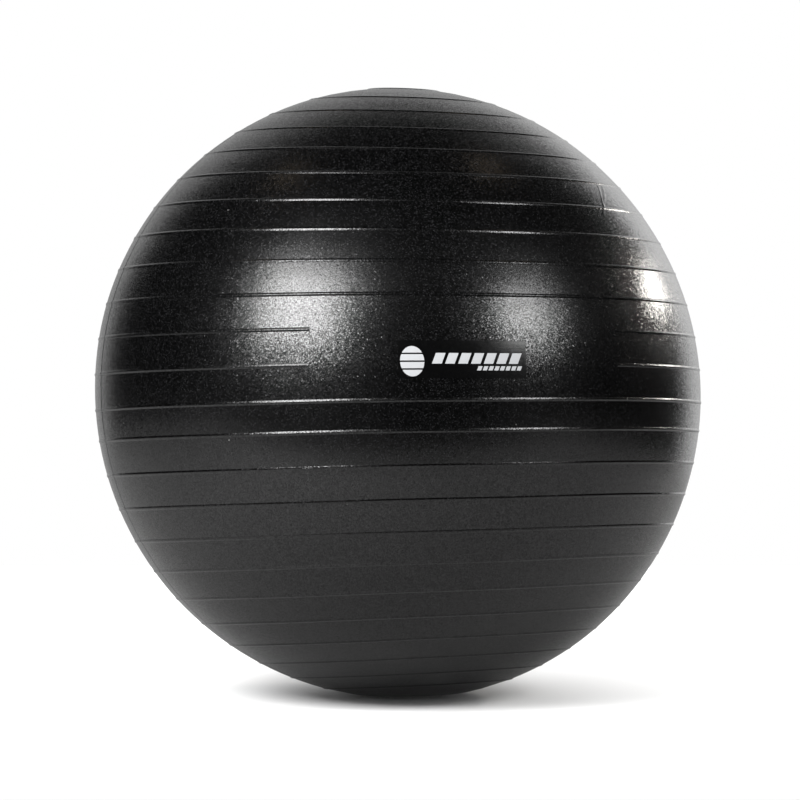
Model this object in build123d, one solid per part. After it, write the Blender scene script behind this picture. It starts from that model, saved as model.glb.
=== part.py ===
"""Exercise ball: a ribbed, hollow PVC ball with a push-in air valve and a printed label.

Frame: millimetres, +Z up along the axis that the ribs run around, origin under the
middle of the flat patch that the ball rests on. The label faces -Y, the valve +Y.
Everything is drawn about the ball's centre and lifted to that frame at the end.
"""

import os
from math import asin, cos, degrees, radians, sin, sqrt

from build123d import *

# ---- Driving dimensions (mm, degrees) ---------------------------------------------------

# Ball. Sold as a 65 cm ball; inflated, it stands a little taller than it is wide.
EQUATOR_RADIUS = 325.0
POLE_RADIUS = 328.0
WALL = 0.85
FOOT_RADIUS = 45.0  # patch pressed flat against the floor by the ball's own weight

# Ribs, all the same, numbered upwards. The lower ones sit at equal angles. From the first
# upper one they sit at equal angles on a taller ellipse, so they open out towards the top.
RIB_NUMBERS = range(-12, 12)
LOWER_STEP = 6.38
LOWER_OFFSET = 4.65
FIRST_UPPER_RIB = -1
UPPER_STEP = 6.14
UPPER_OFFSET = 3.7
UPPER_POLE_RADIUS = 344.0
RIB_HEIGHT = 0.65
RIB_BASE = 4.2
RIB_CROWN = 0.6
RIB_ROOT = 0.4  # how deep an interrupted rib is bedded in the wall

# Label panel, a smooth area where two ribs are interrupted.
PANEL_RIBS = (0, 1)
PANEL_HALF_ANGLE = 30.5

# Label: a thin film and the print on it, bonded to the ball inside the panel.
LABEL_TURN = -2.2  # its middle, from -Y towards +X
LABEL_HEIGHT = 26.9  # its middle over the ball's centre
FILM_LENGTH = 134.0
FILM_WIDTH = 39.0
FILM_THICKNESS = 0.2
PRINT_THICKNESS = 0.12

# Print: a banded oval, a row of slanted blocks and a row of small ones under it.
OVAL_WIDTH = 24.4
OVAL_HEIGHT = 31.2
OVAL_MARGIN = 2.0  # from the film's left end
OVAL_DROP = 2.0
BAND_HEIGHTS = (-8.0, 0.0, 8.0)
BAND_WIDTH = 1.6
ROWS_MARGIN = 4.5  # from the film's right end
ROWS_SLANT = 0.41  # sideways shift by height
BLOCK_COUNT = 7
BLOCK_PITCH = 13.5
BLOCK_WIDTH = 10.0
BLOCK_HEIGHT = 11.0
BLOCK_LIFT = 1.0
SMALL_COUNT = 8
SMALL_PITCH = 6.1
SMALL_WIDTH = 4.4
SMALL_HEIGHT = 4.4
SMALL_DROP = 9.2

# Valve seat, a ring moulded into the wall on the +Y side, between two ribs.
VALVE_HEIGHT = 6.0  # over the ball's centre
SEAT_RADIUS = 12.0
RECESS_RADIUS = 9.5
RECESS_DEPTH = 2.0
NOTCH_RADIUS = 2.2
NOTCH_DEPTH = 1.2
FLANGE_RADIUS = 17.0
FLANGE_THICKNESS = 2.0
NECK_RADIUS = 7.0
NECK_LENGTH = 22.0
BORE_RADIUS = 4.0

# Plug, which pushes into the seat.
HEAD_RADIUS = 9.0
HEAD_THICKNESS = 1.7
HEAD_BEVEL = 0.5
HEAD_GAP = 0.05  # between the head and the floor of the recess
STEM_LENGTH = 20.0
STEM_RADIUS = 3.4
TIP_RADIUS = 2.2
TIP_LENGTH = 4.0
RING_COUNT = 3
RING_PITCH = 4.6
RING_WIDTH = 1.6
RING_CHAMFER = 0.5
RING_CLEARANCE = 0.05

# ---- Worked out from them ---------------------------------------------------------------

CENTRE_HEIGHT = POLE_RADIUS * sqrt(1 - (FOOT_RADIUS / EQUATOR_RADIUS) ** 2)
FACE_Y = EQUATOR_RADIUS * sqrt(1 - (VALVE_HEIGHT / POLE_RADIUS) ** 2)  # the seat's face
FLOOR_Y = FACE_Y - RECESS_DEPTH
FLANGE_Y = FACE_Y - WALL - FLANGE_THICKNESS  # the flange's inner side
FAR = 2 * EQUATOR_RADIUS  # long enough to cut through anything


# ---- The ball's section, in the XZ plane ------------------------------------------------


def on_section(angle, proud=0.0, facing=None):
    """Point on the ball's section at an ellipse angle, moved out along a normal."""
    at = angle if facing is None else facing
    normal = Vector(cos(at) / EQUATOR_RADIUS, 0, sin(at) / POLE_RADIUS).normalized()
    return Vector(EQUATOR_RADIUS * cos(angle), 0, POLE_RADIUS * sin(angle)) + normal * proud


def section_arc(low, high, offset=0.0):
    """Arc of the section, or of the section moved out, between two ellipse angles."""
    return Edge.make_ellipse(
        EQUATOR_RADIUS + offset, POLE_RADIUS + offset, Plane.XZ, degrees(low), degrees(high)
    )


def rib_angle(number):
    """Ellipse angle of a rib's middle."""
    if number < FIRST_UPPER_RIB:
        return radians(LOWER_OFFSET + number * LOWER_STEP)
    height = UPPER_POLE_RADIUS * sin(radians(UPPER_OFFSET + number * UPPER_STEP))
    return asin(height / POLE_RADIUS)


def rib_edge_angles(number):
    """Ellipse angles of a rib's lower and upper edge."""
    half = RIB_BASE / 2 / EQUATOR_RADIUS
    return rib_angle(number) - half, rib_angle(number) + half


def rib_crown(number):
    """The two corners of a rib's crown, lower one first."""
    middle = rib_angle(number)
    half = RIB_CROWN / 2 / EQUATOR_RADIUS
    return [on_section(middle + side * half, RIB_HEIGHT, middle) for side in (-1, 1)]


def chain(points):
    """Straight edges through points."""
    return [Edge.make_line(start, end) for start, end in zip(points, points[1:])]


def spin(edges, arc=360.0, start=0.0):
    """Solid swept about the ball's axis by a closed section."""
    return revolve(Rot(0, 0, start) * Face(Wire(edges)), Axis.Z, revolution_arc=arc)


def smooth_body(offset=0.0):
    """The whole inside of the ball's surface without ribs, or of that surface moved out."""
    pole = POLE_RADIUS + offset
    quarter = radians(90)
    return spin([section_arc(-quarter, quarter, offset), *chain([(0, 0, pole), (0, 0, -pole)])])


# ---- The pieces -------------------------------------------------------------------------


def hollow_ball():
    """Wall of the ball with every rib that goes all the way round, and the flat foot."""
    foot = -CENTRE_HEIGHT
    inner_foot = foot + WALL
    inner_equator, inner_pole = EQUATOR_RADIUS - WALL, POLE_RADIUS - WALL
    inner_start = asin(inner_foot / inner_pole)
    pole_angle = radians(90)

    edges = chain([Vector(0, 0, foot), Vector(FOOT_RADIUS, 0, foot)])
    reached = asin(foot / POLE_RADIUS)
    for number in RIB_NUMBERS:
        if number in PANEL_RIBS:
            continue
        low, high = rib_edge_angles(number)
        edges.append(section_arc(reached, low))
        edges += chain([on_section(low), *rib_crown(number), on_section(high)])
        reached = high
    edges.append(section_arc(reached, pole_angle))
    edges += chain([Vector(0, 0, POLE_RADIUS), Vector(0, 0, inner_pole)])
    edges.append(section_arc(inner_start, pole_angle, -WALL))
    inner_rim = Vector(inner_equator * cos(inner_start), 0, inner_foot)
    edges += chain([inner_rim, Vector(0, 0, inner_foot), Vector(0, 0, foot)])
    return spin(edges)


def interrupted_rib(number):
    """A rib that stops short of the label panel on both sides."""
    low, high = rib_edge_angles(number)
    roots = on_section(low, -RIB_ROOT), on_section(high, -RIB_ROOT)
    outline = [roots[0], on_section(low), *rib_crown(number), on_section(high), *reversed(roots)]
    return spin(chain(outline), 360 - 2 * PANEL_HALF_ANGLE, PANEL_HALF_ANGLE - 90)


def valve_disc(radius, low_y, high_y, rise=0.0):
    """Round bar along Y on the valve's axis, or above it."""
    plane = Plane(origin=(0, low_y, VALVE_HEIGHT + rise), x_dir=(1, 0, 0), z_dir=(0, 1, 0))
    align = (Align.CENTER, Align.CENTER, Align.MIN)
    return plane * Cylinder(radius, high_y - low_y, align=align)


def ball_shell():
    """The ball itself: one hollow moulding with a hole for the valve seat."""
    shell = hollow_ball()
    for number in PANEL_RIBS:
        shell += interrupted_rib(number)
    return shell - valve_disc(SEAT_RADIUS, 0, FAR)


def valve_seat():
    """Flanged ring in the wall, with a neck inside the ball and a recess for the head."""
    face = valve_disc(SEAT_RADIUS, FLANGE_Y, FAR) & smooth_body()
    flange = valve_disc(FLANGE_RADIUS, FLANGE_Y, FAR) & smooth_body(-WALL)
    seat = face + flange + valve_disc(NECK_RADIUS, FLANGE_Y - NECK_LENGTH, FLANGE_Y)
    seat -= valve_disc(RECESS_RADIUS, FLOOR_Y, FAR)
    seat -= valve_disc(NOTCH_RADIUS, FACE_Y - NOTCH_DEPTH, FAR, RECESS_RADIUS)
    return seat - valve_disc(BORE_RADIUS, 0, FAR)


def valve_plug():
    """Stopper with a flat head, a stem with sealing rings and a tapered tip."""
    ring = BORE_RADIUS - RING_CLEARANCE
    outline = [(0, HEAD_THICKNESS), (HEAD_RADIUS - HEAD_BEVEL, HEAD_THICKNESS)]
    outline += [(HEAD_RADIUS, HEAD_THICKNESS - HEAD_BEVEL), (HEAD_RADIUS, 0), (STEM_RADIUS, 0)]
    for index in range(RING_COUNT):
        top = -(index + 1) * RING_PITCH + RING_WIDTH / 2
        bottom = top - RING_WIDTH
        outline += [(STEM_RADIUS, top), (ring, top - RING_CHAMFER)]
        outline += [(ring, bottom + RING_CHAMFER), (STEM_RADIUS, bottom)]
    outline += [(STEM_RADIUS, TIP_LENGTH - STEM_LENGTH), (TIP_RADIUS, -STEM_LENGTH)]
    outline += [(0, -STEM_LENGTH), (0, HEAD_THICKNESS)]
    upright = spin(chain([Vector(across, 0, along) for across, along in outline]))
    return Pos(0, FLOOR_Y + HEAD_GAP, VALVE_HEIGHT) * Rot(-90, 0, 0) * upright


def label_film():
    """Black carrier film, a rectangle that follows the ball."""
    low, high = (asin((LABEL_HEIGHT + up * FILM_WIDTH / 2) / POLE_RADIUS) for up in (-1, 1))
    under, over = section_arc(low, high), section_arc(low, high, FILM_THICKNESS)
    ends = [Edge.make_line(under @ end, over @ end) for end in (0, 1)]
    arc = degrees(FILM_LENGTH / EQUATOR_RADIUS)
    return spin([under, over, *ends], arc, LABEL_TURN - arc / 2 - 90)


def block_row(count, pitch, width, height, middle):
    """Row of slanted blocks that ends near the film's right end."""
    low, high = middle - height / 2, middle + height / 2
    slant = ROWS_SLANT * height
    last = FILM_LENGTH / 2 - ROWS_MARGIN - slant - width
    row = []
    for index in range(count):
        left = last - index * pitch
        corners = [(left, low), (left + width, low)]
        corners += [(left + width + slant, high), (left + slant, high)]
        row.append(Polygon(*corners, align=None))
    return row


def print_outline():
    """The print, drawn flat about the label's middle."""
    oval = Pos(OVAL_MARGIN + (OVAL_WIDTH - FILM_LENGTH) / 2, -OVAL_DROP)
    mark = oval * Ellipse(OVAL_WIDTH / 2, OVAL_HEIGHT / 2)
    for height in BAND_HEIGHTS:
        mark -= oval * Pos(0, height) * Rectangle(OVAL_WIDTH, BAND_WIDTH)
    mark += block_row(BLOCK_COUNT, BLOCK_PITCH, BLOCK_WIDTH, BLOCK_HEIGHT, BLOCK_LIFT)
    mark += block_row(SMALL_COUNT, SMALL_PITCH, SMALL_WIDTH, SMALL_HEIGHT, -SMALL_DROP)
    return mark


def label_print():
    """White ink on the film, drawn through onto it from the ball's axis."""
    turn = radians(LABEL_TURN)
    along, outward = (cos(turn), sin(turn), 0), (sin(turn), -cos(turn), 0)
    plane = Plane(origin=(0, 0, LABEL_HEIGHT), x_dir=along, z_dir=outward)
    column = extrude(plane * print_outline(), FAR)
    layer = smooth_body(FILM_THICKNESS + PRINT_THICKNESS) - smooth_body(FILM_THICKNESS)
    return column & layer


PIECES = {
    "ball_shell": ball_shell,
    "valve_seat": valve_seat,
    "valve_plug": valve_plug,
    "label_film": label_film,
    "label_print": label_print,
}

os.makedirs("parts", exist_ok=True)
for name, make in PIECES.items():
    export_step(Pos(0, 0, CENTRE_HEIGHT) * make(), f"parts/{name}.step")
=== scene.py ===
"""Looks of the exercise ball: a black, finely grained ribbed ball on a white floor.

Everything is in metres in the CAD frame, but the ball's own surface is worked out in
millimetres about its centre, in ball coordinates: an azimuth that is 0 at the label (-Y)
and grows towards +X, and the latitude angle of an ellipse.
"""

from math import cos, hypot, pi, radians, sin, sqrt

import bmesh
import bpy
import numpy as np
from mathutils import Matrix, Vector


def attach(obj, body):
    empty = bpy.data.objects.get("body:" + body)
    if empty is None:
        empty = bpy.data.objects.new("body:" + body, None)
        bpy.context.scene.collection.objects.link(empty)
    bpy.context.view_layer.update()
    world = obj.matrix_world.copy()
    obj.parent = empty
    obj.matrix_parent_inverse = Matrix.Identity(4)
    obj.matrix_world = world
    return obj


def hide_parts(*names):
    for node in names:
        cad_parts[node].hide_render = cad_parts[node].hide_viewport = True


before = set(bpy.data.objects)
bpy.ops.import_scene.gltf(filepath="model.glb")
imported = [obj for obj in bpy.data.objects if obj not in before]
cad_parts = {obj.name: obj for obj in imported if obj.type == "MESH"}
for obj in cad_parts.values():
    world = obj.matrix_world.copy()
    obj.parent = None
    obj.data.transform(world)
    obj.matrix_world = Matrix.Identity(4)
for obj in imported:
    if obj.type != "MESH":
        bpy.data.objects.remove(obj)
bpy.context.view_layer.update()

MM = 0.001

# ---- The ball ---------------------------------------------------------------------------

EQUATOR = 325.0
POLE = 328.0
WALL = 0.85
FOOT = 45.0
CENTRE = POLE * sqrt(1 - (FOOT / EQUATOR) ** 2)  # height of the ball's centre

RIB_NUMBERS = range(-12, 12)
PANEL_RIBS = (0, 1)
PANEL_EDGE = radians(30.5)
RIB_END = 0.2 / EQUATOR  # half the way in which an interrupted rib drops off
RIB_ACROSS = (0.3, 0.5, 1.95, 2.1)  # a rib's section: distances from its middle ...
RIB_UP = (0.635, 0.585, 0.07, 0.0)  # ... and the heights there
RIB_TOP = 0.65  # its height at the middle
FIRST_UPPER_RIB = -1
LOWER_FIRST, LOWER_STEP = 4.65, 6.38  # degrees of latitude, on the lower half
UPPER_FIRST, UPPER_STEP = 3.7, 6.14  # degrees on a circle of the radius below
UPPER_RADIUS = 344.0
RIB_STRAY = 0.16
STRAY_START, STRAY_SHARE = 0.4, 0.8

SEAM_HEIGHT = 0.28
SEAM_HALF_WIDTH = 0.7
FOOT_SOFTNESS = 1.2
CALM_FROM, CALM_TO = 16.0, 34.0  # the wall is even near the valve, out to these radii
SHARP = radians(13)  # edges of the ribs' sections are steeper than this

LEAN = 0.0073  # the ball leans a little: its upper part towards -X
FAN = 0.045  # the ribs' planes turn by this, in radians, from the middle to a pole
FAN_AXIS = radians(-14.3)  # azimuth of the level axis that they turn about
SEAM = radians(90.0)

VALVE_Z = 6.0
SEAT_RADIUS = 12.0

LABEL_TURN = radians(-2.2)
LABEL_Z = 26.9


def rib_angle(number):
    """Latitude of a rib."""
    if number < FIRST_UPPER_RIB:
        return radians(LOWER_FIRST + LOWER_STEP * number)
    return np.arcsin(UPPER_RADIUS * sin(radians(UPPER_FIRST + UPPER_STEP * number)) / POLE)


def smoothstep(low, high, x):
    """Smooth rise from 0 to 1 between two values."""
    t = np.clip((x - low) / (high - low), 0.0, 1.0)
    return t * t * (3 - 2 * t)


def rib_profile(across):
    """Height of a rib, at a distance across it."""
    return np.interp(np.abs(across), (0.0, *RIB_ACROSS), (RIB_TOP, *RIB_UP))


SEED = 7
WAVE_BANDS = ((2.2, 0.16, 6), (5.0, 0.07, 10), (11.0, 0.022, 14))  # fineness, height, count
WANDER_TURNS = (2, 9)  # waves round the ball, from and up to
WANDER_SIZES = (0.5, 1.0)
WANDER_COUNT = 9
WANDER_SHIFT = 1.7  # each rib's waves begin this much further on

rng = np.random.default_rng(SEED)
WAVES = [
    (rng.normal(size=3) * scale, rng.uniform(0, 2 * pi), size)
    for scale, size, count in WAVE_BANDS
    for _ in range(count)
]
WANDER = [
    (rng.integers(*WANDER_TURNS), rng.uniform(0, 2 * pi), rng.uniform(*WANDER_SIZES))
    for _ in range(WANDER_COUNT)
]


def waviness(direction):
    """Soft unevenness of the blown wall, from the unit direction out of the centre."""
    total = np.zeros(direction.shape[:-1])
    for vector, phase, size in WAVES:
        total += size * np.sin(direction @ vector + phase)
    return total


def wander(azimuth, number):
    """How far a rib strays up or down along its way round."""
    total = np.zeros_like(azimuth)
    for turns, phase, size in WANDER:
        total += size * np.sin(turns * azimuth + phase + WANDER_SHIFT * number)
    return RIB_STRAY * total


# Folds in the wall: each is a line of (azimuth, latitude) points, a half width and a height.
FOLDS = [
    ([(47.0, 42.9), (45.0, 40.6), (43.0, 38.4), (41.4, 36.4)], 0.9, 0.34),
    ([(49.6, 42.7), (46.8, 40.4), (43.8, 38.2), (41.4, 36.4), (38.8, 34.0)], 0.9, 0.30),
    ([(42.6, 37.6), (41.2, 36.2)], 1.5, 0.5),
    ([(-71.4, 47.6), (-68.6, 46.9), (-65.8, 46.0), (-62.8, 45.7)], 1.3, 0.3),
    ([(-50.7, 19.0), (-50.9, 14.0), (-50.3, 10.6)], 1.6, 0.05),
    ([(-46.6, 18.0), (-46.8, 12.6), (-46.2, 8.6)], 1.4, 0.04),
    ([(-58.0, 17.4), (-57.6, 12.0)], 1.3, 0.03),
]
FADE_IN, FADE_OUT = 5.0, 7.0  # how far a fold takes to rise and to run out


def fold_height(azimuth, latitude):
    """Height of the folds, with ends that run out smoothly."""
    total = np.zeros_like(azimuth)
    for line, half_width, height in FOLDS:
        points = np.radians(np.array(line))
        flat = np.cos(points[:, 1].mean())
        near = np.full(azimuth.shape, np.inf)
        along = np.zeros_like(azimuth)
        length = 0.0
        for start, end in zip(points, points[1:]):
            step = np.array([(end[0] - start[0]) * flat, end[1] - start[1]]) * EQUATOR
            size = hypot(*step)
            du = (azimuth - start[0]) * flat * EQUATOR
            dv = (latitude - start[1]) * EQUATOR
            t = np.clip((du * step[0] + dv * step[1]) / size**2, 0.0, 1.0)
            gap = np.hypot(du - t * step[0], dv - t * step[1])
            along = np.where(gap < near, length + t * size, along)
            near = np.minimum(near, gap)
            length += size
        ends = smoothstep(0.0, FADE_IN, along) * smoothstep(0.0, FADE_OUT, length - along)
        total += height * ends * np.exp(-((near / half_width) ** 2))
    return total


def surface(azimuth, latitude, offset=0.0, detail=True):
    """Points of the ball's surface, in mm about its centre."""
    azimuth, latitude = np.broadcast_arrays(
        np.asarray(azimuth, float), np.asarray(latitude, float)
    )
    normal = np.stack([np.cos(latitude) / EQUATOR, np.sin(latitude) / POLE], -1)
    normal /= np.linalg.norm(normal, axis=-1, keepdims=True)
    height = np.full(azimuth.shape, float(offset))
    direction = np.stack(
        [
            np.cos(latitude) * np.sin(azimuth),
            -np.cos(latitude) * np.cos(azimuth),
            np.sin(latitude),
        ],
        -1,
    )
    by_valve = np.hypot(direction[..., 0] * EQUATOR, direction[..., 2] * POLE - VALVE_Z)
    calm = np.where(direction[..., 1] > 0, smoothstep(CALM_FROM, CALM_TO, by_valve), 1.0)
    height = height + calm * waviness(direction)
    if detail:
        panel = np.abs(np.arctan2(np.sin(azimuth), np.cos(azimuth)))
        for number in RIB_NUMBERS:
            across = (latitude - rib_angle(number)) * EQUATOR
            if number in PANEL_RIBS:
                cut = smoothstep(PANEL_EDGE - RIB_END, PANEL_EDGE + RIB_END, panel)
            else:
                cut = 1.0
            height = height + cut * rib_profile(across)
        seam = np.abs(np.abs(azimuth) - SEAM) * EQUATOR * np.cos(latitude)
        line = np.exp(-((seam / SEAM_HALF_WIDTH) ** 2)) * np.cos(latitude) ** 0.5
        height = height + SEAM_HEIGHT * line
        height = height + fold_height(azimuth, latitude)
    across = (EQUATOR * np.cos(latitude)) + height * normal[..., 0]
    up = POLE * np.sin(latitude) + height * normal[..., 1]

    # Each rib strays a little, and its plane leans by its own amount. The CAD's ribs are level.
    stray = calm * np.cos(latitude) * wander(azimuth, STRAY_START)
    up = up + stray * np.cos(latitude) * STRAY_SHARE
    across = across - stray * np.sin(latitude) * STRAY_SHARE
    x, y = across * np.sin(azimuth), -across * np.cos(azimuth)
    toward = np.array([sin(FAN_AXIS), -cos(FAN_AXIS)])
    right = np.array([cos(FAN_AXIS), sin(FAN_AXIS)])
    out, side = x * toward[0] + y * toward[1], x * right[0] + y * right[1]
    turn = FAN * np.sin(latitude)
    side, up = side * np.cos(turn) + up * np.sin(turn), up * np.cos(turn) - side * np.sin(turn)
    x, y = out * toward[0] + side * right[0], out * toward[1] + side * right[1]
    x, up = x - LEAN * up, up - LEAN * x

    # The foot: pressed flat on the floor, with a soft edge.
    above = up + CENTRE
    pressed = FOOT_SOFTNESS * np.logaddexp(0.0, above / FOOT_SOFTNESS) - CENTRE
    up = np.where(above > 4 * FOOT_SOFTNESS, up, pressed)
    return np.stack([x, y, up], -1)


def to_frame(points):
    """Millimetres about the ball's centre to metres in the row frame."""
    return (np.asarray(points) + np.array([0.0, 0.0, CENTRE])) * MM


def make_object(name, points, faces, smooth=True):
    """Mesh object from points already in metres."""
    mesh = bpy.data.meshes.new(name)
    mesh.from_pydata([tuple(p) for p in points], [], faces)
    mesh.validate()
    if smooth:
        mesh.shade_smooth()
    obj = bpy.data.objects.new(name, mesh)
    bpy.context.scene.collection.objects.link(obj)
    return obj


def globe(azimuths, latitudes, offset, detail):
    """Points and faces of a closed surface with a pole at each end."""
    grid = surface(azimuths[None, :], latitudes[:, None], offset, detail)
    rows, columns = grid.shape[:2]
    ends = surface(0.0, np.array([-pi / 2, pi / 2]), offset, detail)
    points = np.concatenate([grid.reshape(-1, 3), ends])
    south, north = rows * columns, rows * columns + 1
    faces = []
    for row in range(rows - 1):
        for column in range(columns):
            after = (column + 1) % columns
            a, b = row * columns + column, row * columns + after
            faces.append((a, b, b + columns, a + columns))
    for column in range(columns):
        after = (column + 1) % columns
        faces.append((south, after, column))
        top = (rows - 1) * columns
        faces.append((north, top + column, top + after))
    return to_frame(points), faces


RESTING_ROWS = np.radians(np.arange(-85.5, -79.5, 0.75))
FOLD_BANDS = ((33.6, 43.0, 1.5), (45.0, 48.2, 1.6))  # low and high in degrees, spacing in mm
FOLD_COLUMNS = ((38.2, 50.4, 0.25), (-72.0, -62.0, 0.7))  # in degrees
SMALL_FOLDS = (-50.7, -46.6, -57.8)
SMALL_FOLD_COLUMNS = (-0.4, -0.2, 0.0, 0.2, 0.4)
COLUMN_GAP, COLUMN_START = 1.7, 0.37  # in degrees
SEAM_COLUMNS = (-2.2, -1.1, -0.5, 0.0, 0.5, 1.1, 2.2)  # in mm from the seam
PANEL_COLUMNS = (-3, -1, 1, 3)  # times RIB_END, from the panel's edge
CLEAR_OF_RIB = 2.6


def row_latitudes():
    """Latitudes of the mesh rows: close together on each rib and by the folds."""
    steps = np.array([side * across for side in (-1, 1) for across in RIB_ACROSS]) / EQUATOR
    rows = []
    ribs = [rib_angle(number) for number in RIB_NUMBERS]
    edges = [-pi / 2, *ribs, pi / 2]
    for low, high in zip(edges, edges[1:]):
        rows += list(np.linspace(low, high, 4)[1:-1])
    for rib in ribs:
        rows += list(rib + steps)
    rows += list(RESTING_ROWS)
    for low, high, gap in FOLD_BANDS:
        fine = np.arange(radians(low), radians(high), gap / EQUATOR)
        rows += [f for f in fine if min(abs(f - rib) for rib in ribs) * EQUATOR > CLEAR_OF_RIB]
    return np.array(sorted(rows))


def column_azimuths():
    """Azimuths of the mesh columns: close together at the seam, the panel and the folds."""
    columns = list(np.radians(np.arange(-180.0, 180.0, COLUMN_GAP) + COLUMN_START))
    for seam in (-SEAM, SEAM):
        columns += [seam + mm / EQUATOR for mm in SEAM_COLUMNS]
    for side in (-1, 1):
        columns += [side * (PANEL_EDGE + step * RIB_END) for step in PANEL_COLUMNS]
    for first, last, gap in FOLD_COLUMNS:
        columns += list(np.radians(np.arange(first, last, gap)))
    for middle in SMALL_FOLDS:
        columns += list(np.radians(middle + np.array(SMALL_FOLD_COLUMNS)))
    columns = np.array(sorted(columns))
    return columns[np.concatenate([[True], np.diff(columns) > RIB_END])]


def cutter(name, radius, low_y, high_y, centre, sides=96):
    """Round bar along Y, used only to cut with."""
    bm = bmesh.new()
    bmesh.ops.create_cone(
        bm, cap_ends=True, segments=sides, radius1=radius, radius2=radius, depth=high_y - low_y
    )
    place = Matrix.Translation((centre[0], (low_y + high_y) / 2, centre[2]))
    bm.transform(place @ Matrix.Rotation(pi / 2, 4, "X"))
    mesh = bpy.data.meshes.new(name)
    bm.to_mesh(mesh)
    bm.free()
    obj = bpy.data.objects.new(name, mesh)
    bpy.context.scene.collection.objects.link(obj)
    return obj


def cut(obj, tool):
    """Takes the tool's shape out of the object and removes the tool."""
    modifier = obj.modifiers.new("cut", "BOOLEAN")
    modifier.operation = "DIFFERENCE"
    modifier.solver = "EXACT"
    modifier.object = tool
    graph = bpy.context.evaluated_depsgraph_get()
    mesh = bpy.data.meshes.new_from_object(obj.evaluated_get(graph))
    obj.modifiers.clear()
    obj.data = mesh
    bpy.data.objects.remove(tool)


VALVE = np.array([0.0, 0.0, CENTRE + VALVE_Z]) * MM


INNER_GAP = 4.0  # in degrees, of the plain inner side
INNER_LOW_ROWS = (-84.0, -81.5, -80.0)
CUT_FROM, CUT_TO, NOTCH_TO = 0.2, 0.5, 0.34  # reach of the cutters along Y, in metres


def build_ball():
    """The ribbed ball, a closed thin shell with a round hole for the valve seat."""
    points, faces = globe(column_azimuths(), row_latitudes(), 0.0, True)
    inner_columns = np.radians(np.arange(-180.0, 180.0, INNER_GAP))
    inner_rows = np.radians([*INNER_LOW_ROWS, *np.arange(-78.0, 90.0, INNER_GAP)])
    inner, inner_faces = globe(inner_columns, inner_rows, -WALL, False)
    inner[:, 2] = np.maximum(inner[:, 2], WALL * MM)
    shift = len(points)
    faces += [tuple(shift + index for index in reversed(face)) for face in inner_faces]
    ball = make_object("ball_skin", np.concatenate([points, inner]), faces)
    cut(ball, cutter("hole_tool", SEAT_RADIUS * MM, CUT_FROM, CUT_TO, VALVE))
    ball.data.shade_smooth()
    ball.data.set_sharp_from_angle(angle=SHARP)
    return ball


# ---- Label ------------------------------------------------------------------------------

FILM_LENGTH = 134.0
FILM_WIDTH = 39.0
FILM_TOP = 0.2
INK_TOP = 0.32
FILM_SINK = 0.15  # how far the film goes into the wall, and ...
INK_SINK = 0.05  # ... the ink into the film
OVAL_SIZE = (24.4, 31.2)
OVAL_MARGIN = 2.0
OVAL_DROP = 2.0
OVAL_CUTS = (-15.6, -8.8, -7.2, -0.8, 0.8, 7.2, 8.8, 15.6)  # low and high edge of each band
ROW_SLANT = 0.41
ROW_MARGIN = 4.5
BIG_ROW = (7, 13.5, 10.0, 11.0, 1.0)  # count, pitch, width, height, middle
SMALL_ROW = (8, 6.1, 4.4, 4.4, -9.2)


def slab(grid, low, high):
    """Closed thin sheet on the ball from a grid of flat (along, up) label coordinates."""
    grid = np.asarray(grid, float)
    latitude = np.arcsin((LABEL_Z + grid[..., 1]) / POLE)
    azimuth = LABEL_TURN + np.arcsin(grid[..., 0] / (EQUATOR * np.cos(latitude)))
    layers = [to_frame(surface(azimuth, latitude, offset, False)) for offset in (low, high)]
    rows, columns = grid.shape[:2]
    count = rows * columns
    points = np.concatenate([layer.reshape(-1, 3) for layer in layers])
    faces = []
    for row in range(rows - 1):
        for column in range(columns - 1):
            a = row * columns + column
            square = (a, a + 1, a + columns + 1, a + columns)
            faces.append(tuple(reversed(square)))
            faces.append(tuple(count + index for index in square))
    rim = list(range(columns))
    rim += [row * columns + columns - 1 for row in range(1, rows)]
    rim += [(rows - 1) * columns + column for column in range(columns - 2, -1, -1)]
    rim += [row * columns for row in range(rows - 2, 0, -1)]
    for a, b in zip(rim, rim[1:] + rim[:1]):
        faces.append((a, b, count + b, count + a))
    return points, faces


def merge(name, parts):
    """One object out of several (points, faces) parts."""
    points, faces = [], []
    for part_points, part_faces in parts:
        shift = sum(len(p) for p in points)
        faces += [tuple(shift + index for index in face) for face in part_faces]
        points.append(part_points)
    return make_object(name, np.concatenate(points), faces, smooth=False)


def rectangle(left, right, low, high, columns, rows, slant=0.0):
    """Grid over a rectangle, or over one whose top is pushed along by the slant."""
    along, up = np.meshgrid(np.linspace(0, 1, columns), np.linspace(0, 1, rows))
    return np.stack([left + along * (right - left) + up * slant, low + up * (high - low)], -1)


def oval_band(middle, size, low, high):
    """Grid over the part of an oval between two of its unit circle's heights."""
    widest = sqrt(1 - min(abs(low), abs(high)) ** 2 * (low * high > 0))
    along = widest * np.sin(np.linspace(-pi / 2, pi / 2, 33))
    rim = np.sqrt(np.maximum(1 - along**2, 0.0))
    tops, bottoms = np.minimum(high, rim), np.maximum(low, -rim)
    up = bottoms + (tops - bottoms) * np.linspace(0, 1, 4)[:, None]
    grid = np.stack([np.broadcast_to(along, up.shape), up], -1)
    return grid * np.array(size) / 2 + np.array(middle)


def block_row(count, pitch, width, height, middle):
    """Grids of a row of slanted blocks that ends near the film's right end."""
    slant = ROW_SLANT * height
    last = FILM_LENGTH / 2 - ROW_MARGIN - slant - width
    lefts = [last - index * pitch for index in range(count)]
    low, high = middle - height / 2, middle + height / 2
    return [rectangle(left, left + width, low, high, 5, 4, slant) for left in lefts]


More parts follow.
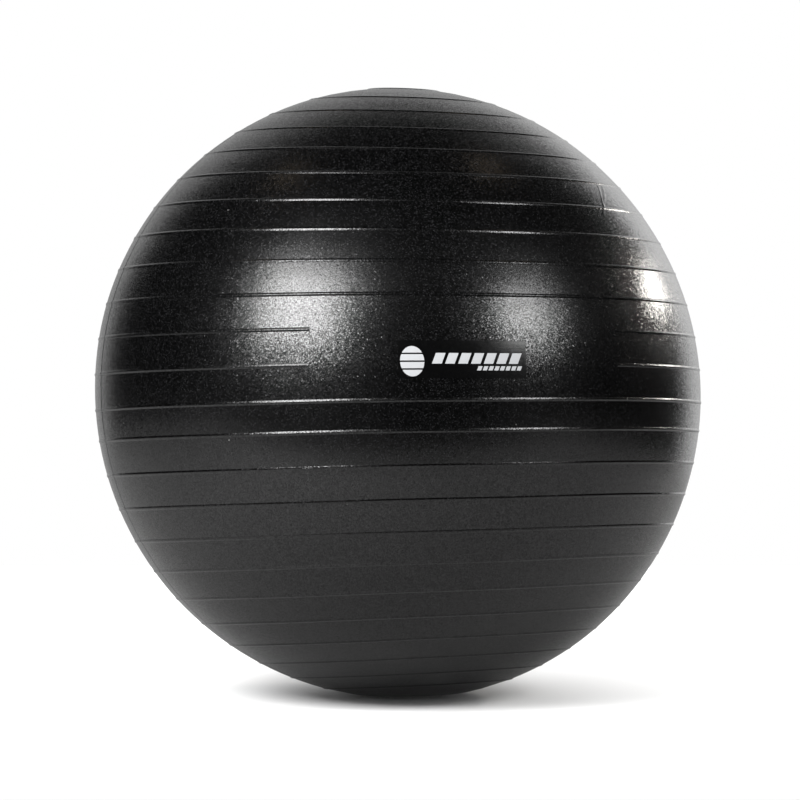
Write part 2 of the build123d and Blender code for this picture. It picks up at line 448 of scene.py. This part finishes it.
def build_label():
    """Black film and the white print on it."""
    half, tall = FILM_LENGTH / 2, FILM_WIDTH / 2
    flat = rectangle(-half, half, -tall, tall, 68, 12)
    film = merge("label_sheet", [slab(flat, -FILM_SINK, FILM_TOP)])
    middle = (-half + OVAL_MARGIN + OVAL_SIZE[0] / 2, -OVAL_DROP)
    cuts = np.array(OVAL_CUTS) / OVAL_CUTS[-1]
    grids = [oval_band(middle, OVAL_SIZE, low, high) for low, high in zip(cuts[::2], cuts[1::2])]
    grids += block_row(*BIG_ROW) + block_row(*SMALL_ROW)
    ink = merge("label_ink_marks", [slab(grid, FILM_TOP - INK_SINK, INK_TOP) for grid in grids])
    return film, ink


# ---- Valve ------------------------------------------------------------------------------

FACE_Y = EQUATOR * sqrt(1 - (VALVE_Z / POLE) ** 2)
SEAT_OUTLINE = [  # (radius, way out from the seat's face), round the section
    (4.0, -24.85),
    (7.0, -24.85),
    (7.0, -2.85),
    (17.0, -3.0),
    (17.0, -1.5),
    (12.5, -1.2),
    (11.97, -1.0),
    (11.97, -0.16),
    (9.5, -0.1),
    (9.5, -2.0),
    (4.0, -2.0),
]
HEAD_OUTLINE = [(0, -0.45), (5.4, -0.45), (6.0, -0.25), (8.5, -0.25), (9.0, -0.75), (9.0, -1.95)]
TIP_OUTLINE = [(3.4, -17.95), (2.2, -21.95), (0, -21.95)]
STEM_RADIUS = 3.4
STEM_START = -1.95
RING_RADIUS = 3.95
RING_COUNT = 3
RING_PITCH = 4.6
RING_HALF = 0.8
RING_CHAMFER = 0.5
NOTCH_RADIUS = 2.2
NOTCH_DEPTH = 1.2
NOTCH_RISE = 9.5
TURNED_SHARP = 32.0
SEAT_ROUNDING, PLUG_ROUNDING = 0.28, 0.3
LEAST_ROUNDING = 0.02
MOST_OF_A_SIDE = 0.45
ON_AXIS = 1e-6


def lathe(name, outline, sides=96):
    """Closed outline of (radius, y) turned about the valve's axis, with y from its face."""
    outline = np.asarray(outline, float)
    turns = np.linspace(0, 2 * pi, sides, endpoint=False)
    on_axis = outline[:, 0] < ON_AXIS
    points, rows = [], []
    for (radius, along), centre in zip(outline, on_axis):
        ring = [0.0] if centre else turns
        start = len(points)
        points += [
            (radius * cos(t), FACE_Y + along, VALVE_Z + radius * sin(t)) for t in ring
        ]
        rows.append([start] * sides if centre else list(range(start, start + sides)))
    faces = []
    pairs = list(zip(rows, rows[1:] + rows[:1]))
    for low, high in pairs:
        for side in range(sides):
            after = (side + 1) % sides
            face = [low[side], low[after], high[after], high[side]]
            face = [v for i, v in enumerate(face) if v not in face[:i]]
            if len(face) > 2:
                faces.append(tuple(face))
    obj = make_object(name, to_frame(points), faces, smooth=True)
    bm = bmesh.new()
    bm.from_mesh(obj.data)
    bmesh.ops.recalc_face_normals(bm, faces=bm.faces)
    bm.to_mesh(obj.data)
    bm.free()
    obj.data.set_sharp_from_angle(angle=radians(TURNED_SHARP))
    return obj


def rounded(corners, radius, steps=4):
    """Outline with its corners rounded by up to a radius; a corner on the axis stays."""
    corners = [np.array(c, float) for c in corners]
    made = []
    befores, afters = corners[-1:] + corners[:-1], corners[1:] + corners[:1]
    for before, corner, after in zip(befores, corners, afters):
        back, on = before - corner, after - corner
        shorter = min(np.linalg.norm(back), np.linalg.norm(on))
        reach = min(radius, shorter * MOST_OF_A_SIDE)
        if corner[0] < ON_AXIS or reach < LEAST_ROUNDING:
            made.append(corner)
            continue
        start = corner + back / np.linalg.norm(back) * reach
        end = corner + on / np.linalg.norm(on) * reach
        for t in np.linspace(0, 1, steps):
            made.append((1 - t) ** 2 * start + 2 * t * (1 - t) * corner + t * t * end)
    return made


def build_valve():
    """Seat with its recess and thumb notch, and the plug."""
    seat = lathe("valve_ring", rounded(SEAT_OUTLINE, SEAT_ROUNDING))
    place = (VALVE[0], 0, VALVE[2] + NOTCH_RISE * MM)
    notch = cutter("notch_tool", NOTCH_RADIUS * MM, (FACE_Y - NOTCH_DEPTH) * MM, NOTCH_TO, place, 48)
    cut(seat, notch)
    seat.data.set_sharp_from_angle(angle=radians(TURNED_SHARP))
    outline = [*HEAD_OUTLINE, (STEM_RADIUS, STEM_START)]
    for index in range(RING_COUNT):
        top = STEM_START - (index + 1) * RING_PITCH + RING_HALF
        low = top - 2 * RING_HALF
        outline += [(STEM_RADIUS, top), (RING_RADIUS, top - RING_CHAMFER)]
        outline += [(RING_RADIUS, low + RING_CHAMFER), (STEM_RADIUS, low)]
    outline += TIP_OUTLINE
    plug = lathe("plug_stopper", rounded(outline, PLUG_ROUNDING))
    return seat, plug


# ---- Materials --------------------------------------------------------------------------


def new_material(name):
    """Material, its nodes and links, and its main shader."""
    material = bpy.data.materials.new(name)
    material.use_nodes = True
    nodes = material.node_tree.nodes
    return material, nodes, material.node_tree.links, nodes["Principled BSDF"]


def noise(nodes, links, vector, scale, detail, roughness=0.5):
    """Value of a soft noise."""
    node = nodes.new("ShaderNodeTexNoise")
    node.inputs["Scale"].default_value = scale
    node.inputs["Detail"].default_value = detail
    node.inputs["Roughness"].default_value = roughness
    links.new(vector, node.inputs["Vector"])
    return node.outputs["Fac"]


def map_range(nodes, links, value, from_low, from_high, to_low, to_high, smooth=False):
    """A value carried from one range to another."""
    node = nodes.new("ShaderNodeMapRange")
    if smooth:
        node.interpolation_type = "SMOOTHSTEP"
    for socket, number in zip(
        ("From Min", "From Max", "To Min", "To Max"), (from_low, from_high, to_low, to_high)
    ):
        node.inputs[socket].default_value = number
    links.new(value, node.inputs["Value"])
    return node.outputs["Result"]


def bump(nodes, links, height, distance):
    """Normal that a height gives to the surface."""
    node = nodes.new("ShaderNodeBump")
    node.inputs["Strength"].default_value = 1.0
    node.inputs["Distance"].default_value = distance
    links.new(height, node.inputs["Height"])
    return node.outputs["Normal"]


def math_node(nodes, links, operation, first, second=None):
    """Result of a sum on numbers or sockets."""
    node = nodes.new("ShaderNodeMath")
    node.operation = operation
    for socket, value in zip(node.inputs, (first, second)):
        if isinstance(value, (int, float)):
            socket.default_value = value
        elif value is not None:
            links.new(value, socket)
    return node.outputs["Value"]


def mix_colour(nodes, links, factor, first, second):
    """Colour between two colours, each a tuple or a socket."""
    node = nodes.new("ShaderNodeMix")
    node.data_type = "RGBA"
    for socket, value in ((node.inputs["A"], first), (node.inputs["B"], second)):
        if isinstance(value, tuple):
            socket.default_value = value
        else:
            links.new(value, socket)
    links.new(factor, node.inputs["Factor"])
    return node.outputs["Result"]


def scaled(colour, by):
    """Colour times a number, with its alpha."""
    return (*[part * by for part in colour], 1.0)


def vector_math(nodes, links, operation, first, second=None, scale=None):
    """Result of a sum on vectors, each a tuple or a socket."""
    node = nodes.new("ShaderNodeVectorMath")
    node.operation = operation
    for socket, value in zip(node.inputs, (first, second)):
        if isinstance(value, tuple):
            socket.default_value = value
        elif value is not None:
            links.new(value, socket)
    if scale is not None:
        links.new(scale, node.inputs["Scale"])
    return node.outputs["Value" if operation in ("DISTANCE", "DOT_PRODUCT") else "Vector"]


PLASTIC_IOR = 1.46
RARITY = 3.0  # the higher, the fewer grains stand steeply
STEEPEST = 4  # times the usual tilt
GRAIN_SHINE = (0.26, 0.74)
GRAIN_TONES = (0.1, 12.5)  # times the base colour, from the darkest grain to the lightest
TONE_RARITY = 8.0
GLOSS_CLOUDS = (9.0, 5.0, 0.6)
CLOUD_RANGE = (0.3, 0.7)
DUST_SPACING = 26.0
DUST_EDGE = (0.012, 0.028)
DUST_PATCHES = (14.0, 0.0)
DUST_PATCH_EDGE = (0.56, 0.6)
DUST_COLOUR = (0.16, 0.16, 0.155, 1.0)
PLAIN_CLOUDS = (3.0, 0.55)
DARKEST = 0.93
UNEVEN = (0.9, 1.1)


def pvc(name, base, grain_size, grain_tilt, rough_low, rough_high):
    """Black PVC with a fine grain, slightly uneven gloss and a few specks of dust."""
    material, nodes, links, shader = new_material(name)
    tree = nodes, links
    place = nodes.new("ShaderNodeTexCoord").outputs["Object"]
    shader.inputs["IOR"].default_value = PLASTIC_IOR
    grain = nodes.new("ShaderNodeTexVoronoi")
    grain.inputs["Scale"].default_value = 1 / grain_size
    links.new(place, grain.inputs["Vector"])

    # Each grain is tilted its own way, and a few of them steeply.
    centred = vector_math(*tree, "SUBTRACT", grain.outputs["Color"], (0.5, 0.5, 0.5))
    chance = nodes.new("ShaderNodeTexWhiteNoise")
    links.new(grain.outputs["Position"], chance.inputs["Vector"])
    rare = math_node(*tree, "POWER", chance.outputs["Value"], RARITY)
    steep = map_range(*tree, rare, 0.0, 1.0, grain_tilt, STEEPEST * grain_tilt)
    tilt = vector_math(*tree, "SCALE", centred, None, steep)
    true_normal = nodes.new("ShaderNodeNewGeometry").outputs["Normal"]
    tilted = vector_math(*tree, "ADD", true_normal, tilt)
    links.new(vector_math(*tree, "NORMALIZE", tilted), shader.inputs["Normal"])

    each = nodes.new("ShaderNodeSeparateColor")
    links.new(grain.outputs["Color"], each.inputs["Color"])
    shine = map_range(*tree, each.outputs["Blue"], 0.0, 1.0, *GRAIN_SHINE)
    links.new(shine, shader.inputs["Specular IOR Level"])
    gloss = noise(*tree, place, *GLOSS_CLOUDS)
    rough = map_range(*tree, gloss, *CLOUD_RANGE, rough_low, rough_high)
    links.new(rough, shader.inputs["Roughness"])

    bright = math_node(*tree, "POWER", each.outputs["Red"], TONE_RARITY)
    tone = mix_colour(*tree, bright, *[scaled(base, by) for by in GRAIN_TONES])
    dust = nodes.new("ShaderNodeTexVoronoi")
    dust.inputs["Scale"].default_value = DUST_SPACING
    links.new(place, dust.inputs["Vector"])
    speck = map_range(*tree, dust.outputs["Distance"], *DUST_EDGE, 1.0, 0.0)
    patches = noise(*tree, place, *DUST_PATCHES)
    chosen = map_range(*tree, patches, *DUST_PATCH_EDGE, 0.0, 1.0)
    both = math_node(*tree, "MULTIPLY", speck, chosen)
    links.new(mix_colour(*tree, both, tone, DUST_COLOUR), shader.inputs["Base Color"])
    return material


def plain(name, base, rough, grain_scale, grain_depth):
    """Solid coloured plastic or ink with a slight unevenness."""
    material, nodes, links, shader = new_material(name)
    tree = nodes, links
    place = nodes.new("ShaderNodeTexCoord").outputs["Object"]
    shader.inputs["IOR"].default_value = PLASTIC_IOR
    cloud = noise(*tree, place, grain_scale, *PLAIN_CLOUDS)
    tone = mix_colour(*tree, cloud, scaled(base, DARKEST), scaled(base, 1.0))
    links.new(tone, shader.inputs["Base Color"])
    uneven = map_range(*tree, cloud, *CLOUD_RANGE, *[rough * by for by in UNEVEN])
    links.new(uneven, shader.inputs["Roughness"])
    links.new(bump(*tree, cloud, grain_depth), shader.inputs["Normal"])
    return material


BALL_BLACK = (0.0018, 0.0018, 0.0019)
skin = pvc("black_pvc", BALL_BLACK, 0.00086, 0.07, 0.22, 0.27)
seat_black = pvc("seat_black", (0.012, 0.012, 0.0125), 0.0005, 0.06, 0.32, 0.42)
film_black = plain("film_black", (0.0016, 0.0016, 0.0017), 0.22, 240.0, 0.00001)
ink_white = plain("ink_white", (0.55, 0.56, 0.575), 0.5, 300.0, 0.00001)
plug_white = plain("plug_white", (0.74, 0.74, 0.71), 0.42, 160.0, 0.00002)

ball = build_ball()
film, ink = build_label()
ring, stopper = build_valve()

for obj, material, node, name in (
    (ball, skin, "ball_shell", "ball_pvc"),
    (film, film_black, "label_film", "label_film"),
    (ink, ink_white, "label_print", "label_ink"),
    (ring, seat_black, "valve_seat", "seat_pvc"),
    (stopper, plug_white, "valve_plug", "plug_plastic"),
):
    obj.data.materials.clear()
    obj.data.materials.append(material)
    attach(obj, "plug" if obj is stopper else "ball")
    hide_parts(node)

# ---- Camera -----------------------------------------------------------------------------

VIEW_AZIMUTH = radians(-14.3)
VIEW_RISE = radians(-1.26)
DISTANCE = 6.5
ROLL = radians(1.085)
LENS = 272.25
SENSOR = 36.0
FARTHEST = 100.0
AIM_RIGHT, AIM_DOWN = 0.0022, 0.0070  # from the ball's centre

middle = Vector((0, 0, CENTRE * MM))
toward = Vector((sin(VIEW_AZIMUTH), -cos(VIEW_AZIMUTH), 0))
right = Vector((cos(VIEW_AZIMUTH), sin(VIEW_AZIMUTH), 0))
above = Vector((0, 0, 1))


def seen_from(turn, rise, distance):
    """Point at an angle round from the camera's side, to the right, and above level."""
    turn, rise = radians(turn), radians(rise)
    level = toward * cos(turn) + right * sin(turn)
    return middle + (level * cos(rise) + above * sin(rise)) * distance


camera_data = bpy.data.cameras.new("camera")
camera_data.lens = LENS
camera_data.sensor_width = SENSOR
camera_data.clip_end = FARTHEST
camera = bpy.data.objects.new("camera", camera_data)
bpy.context.scene.collection.objects.link(camera)
bpy.context.scene.camera = camera
camera.location = middle + (toward * cos(VIEW_RISE) + above * sin(VIEW_RISE)) * DISTANCE
aim = middle + right * AIM_RIGHT - above * AIM_DOWN
look = (aim - camera.location).to_track_quat("-Z", "Y").to_matrix().to_4x4()
camera.matrix_world = Matrix.Translation(camera.location) @ look @ Matrix.Rotation(-ROLL, 4, "Z")

# ---- Lights and stage -------------------------------------------------------------------

bpy.context.scene.view_settings.view_transform = "Standard"


def soft_light(name, turn, rise, distance, width, height, radiance, colour=(1, 1, 1)):
    """Rectangular softbox that faces the ball; its glow is given as a radiance."""
    data = bpy.data.lights.new(name, "AREA")
    data.shape = "RECTANGLE"
    data.size, data.size_y = width, height
    data.energy = radiance * pi * width * height
    data.color = colour
    obj = bpy.data.objects.new(name, data)
    obj.location = seen_from(turn, rise, distance)
    obj.rotation_euler = (middle - obj.location).to_track_quat("-Z", "Y").to_euler()
    obj.visible_camera = False
    bpy.context.scene.collection.objects.link(obj)
    return obj


WARM = (1.0, 0.96, 0.90)
YELLOW = (1.0, 0.82, 0.62)
for row in (  # name, turn, rise, distance, width, height, radiance, colour
    ("key", -37.5, 28.3, 2.5, 1.2, 1.15, 24.0),
    ("second", 50.4, 24.2, 2.6, 0.72, 0.7, 19.5),
    ("back_bulb", 124.0, 18.2, 2.5, 0.46, 0.22, 44.0, WARM),
    ("lamp_left", -105, 63.5, 3.0, 0.22, 0.22, 2.5, YELLOW),
    ("lamp_right", 110.6, 65.7, 3.0, 0.22, 0.22, 2.5, YELLOW),
):
    soft_light(*row)

# A wide, soft light for the floors only. It leans towards the camera's side.
FILL_SPREAD = radians(160)
FILL_STRENGTH = 4.6
FILL_LEAN = radians(18)
FILL_HEIGHT = 2.6

fill = bpy.data.lights.new("floor_fill", "SUN")
fill.angle = FILL_SPREAD
fill.energy = FILL_STRENGTH
fill_light = bpy.data.objects.new("floor_fill", fill)
fill_light.location = (0, 0, FILL_HEIGHT)
fill_way = above * cos(FILL_LEAN) + toward * sin(FILL_LEAN)
fill_light.rotation_euler = fill_way.to_track_quat("Z", "Y").to_euler()
fill_light.visible_camera = False
fill_light.visible_glossy = False
bpy.context.scene.collection.objects.link(fill_light)

# The floor that the camera sees is not level in this frame: the ball has rolled a little on
# it, so its ribs run round an axis that leans from the upright.
TIP = radians(4.6)
FLOOR_DROP = 0.3262  # from the ball's centre to that floor
up_side = above * cos(ROLL) + right * sin(ROLL)
floor_up = (up_side * cos(TIP) + toward * sin(TIP)).normalized()
floor_right = floor_up.cross(toward).normalized()
floor_front = floor_right.cross(floor_up).normalized()
floor_foot = middle - floor_up * FLOOR_DROP


def sheet(name, foot, front, side, near, far, left, wide):
    """Rectangle from far behind a foot point to near in front of it."""
    corners = [
        foot + front * near - side * left,
        foot + front * near + side * wide,
        foot - front * far + side * wide,
        foot - front * far - side * left,
    ]
    obj = make_object(name, corners, [(0, 1, 2, 3)], False)
    return obj


FLOOR_ROUGH, FLOOR_SHINE = 0.75, 0.1

floors = bpy.data.collections.new("floors")
bpy.context.scene.collection.children.link(floors)


def white_floor(obj, white):
    """Matt white, and the fill light falls on it alone."""
    floors.objects.link(obj)
    material, _, _, shader = new_material(obj.name)
    shader.inputs["Base Color"].default_value = (white, white, white, 1)
    shader.inputs["Roughness"].default_value = FLOOR_ROUGH
    shader.inputs["Specular IOR Level"].default_value = FLOOR_SHINE
    obj.data.materials.append(material)


FLOOR_WHITE = 0.82
# The mirrored floor's white is painted shade: the same floor as the one the camera sees, made far
# darker.
MIRRORED_SHADED_WHITE = 0.30
FLOOR_SIZE = (0.88, 1.6, 2.5, 2.5)  # near, far, left, right
MIRRORED_SIZE = (0.88, 4.0, 2.8, 1.35)
MIRRORED_DROP = 0.0005
PAINTED_POOL = tuple(toward * 0.55 - right * 0.5)  # middle of a pool of painted light on the mirrored floor
PAINTED_POOL_EDGE = (0.1, 0.75)
PAINTED_POOL_WHITES = (0.42, 0.31)

# The floor that the camera sees ...
floor = sheet("floor", floor_foot, floor_front, floor_right, *FLOOR_SIZE)
white_floor(floor, FLOOR_WHITE)
floor.visible_diffuse = False
floor.visible_glossy = False
floor.visible_shadow = False

# ... and the level one that only the ball's reflections show: a copy of that floor in painted shade,
# its white far dimmer.
origin = Vector((0, 0, -MIRRORED_DROP))
mirrored_floor = sheet("mirrored_floor", origin, toward, right, *MIRRORED_SIZE)
white_floor(mirrored_floor, MIRRORED_SHADED_WHITE)
white = mirrored_floor.data.materials[0]
tree = white.node_tree.nodes, white.node_tree.links
place = tree[0].new("ShaderNodeTexCoord").outputs["Object"]
# Painted light: the mirrored floor's base colour is lighter in a pool to the front left and fades to
# a darker white further out. All of it is still painted shade beside the white of the floor the
# camera sees.
pool = vector_math(*tree, "DISTANCE", place, PAINTED_POOL)
shine = map_range(*tree, pool, *PAINTED_POOL_EDGE, *PAINTED_POOL_WHITES, True)
tree[1].new(shine, tree[0]["Principled BSDF"].inputs["Base Color"])
mirrored_floor.visible_camera = False
mirrored_floor.visible_shadow = False
mirrored_floor.visible_diffuse = False
fill_light.light_linking.receiver_collection = floors

# ---- Surroundings: white to the camera, a lit backdrop in a dark room to everything else -----

BACKDROP_GLOW = 0.65
SIDE_GLOW = 1.7
ROOM_GLOW = 0.012

world = bpy.data.worlds.new("studio")
bpy.context.scene.world = world
world.use_nodes = True
sky = world.node_tree.nodes, world.node_tree.links
background = sky[0]["Background"]
background.inputs["Strength"].default_value = 1.0
way = sky[0].new("ShaderNodeTexCoord").outputs["Generated"]


def along(direction):
    """How far the ray's direction goes along a direction."""
    return vector_math(*sky, "DOT_PRODUCT", way, tuple(direction))


def fade(value, start, end, to_low, to_high, smooth=False):
    """Change of brightness between two angles in degrees."""
    return map_range(*sky, value, radians(start), radians(end), to_low, to_high, smooth)


def product(first, *others):
    """All of them multiplied."""
    for other in others:
        first = math_node(*sky, "MULTIPLY", first, other)
    return first


round_back = math_node(*sky, "ARCTAN2", along(right), along(-toward))
rise = math_node(*sky, "ARCSINE", along(above))
left_end = fade(round_back, -44, -28, 0.0, 1.0)
top_end = fade(rise, 33, 58, 1.0, 0.0)
right_end = fade(round_back, 38, 43, 1.0, 0.0, True)
backdrop = product(left_end, right_end, top_end, BACKDROP_GLOW)
grows = fade(round_back, 2, 33, 0.0, 1.0)
low_part = fade(rise, -3, 13, 0.35, 1.0)
high_part = fade(rise, 22, 38, 1.0, 0.0, True)
lit = product(grows, low_part, high_part, right_end, SIDE_GLOW)
room = math_node(*sky, "ADD", lit, ROOM_GLOW)
studio = math_node(*sky, "ADD", backdrop, room)
seen = sky[0].new("ShaderNodeLightPath").outputs["Is Camera Ray"]
sky[1].new(math_node(*sky, "MAXIMUM", studio, seen), background.inputs["Color"])
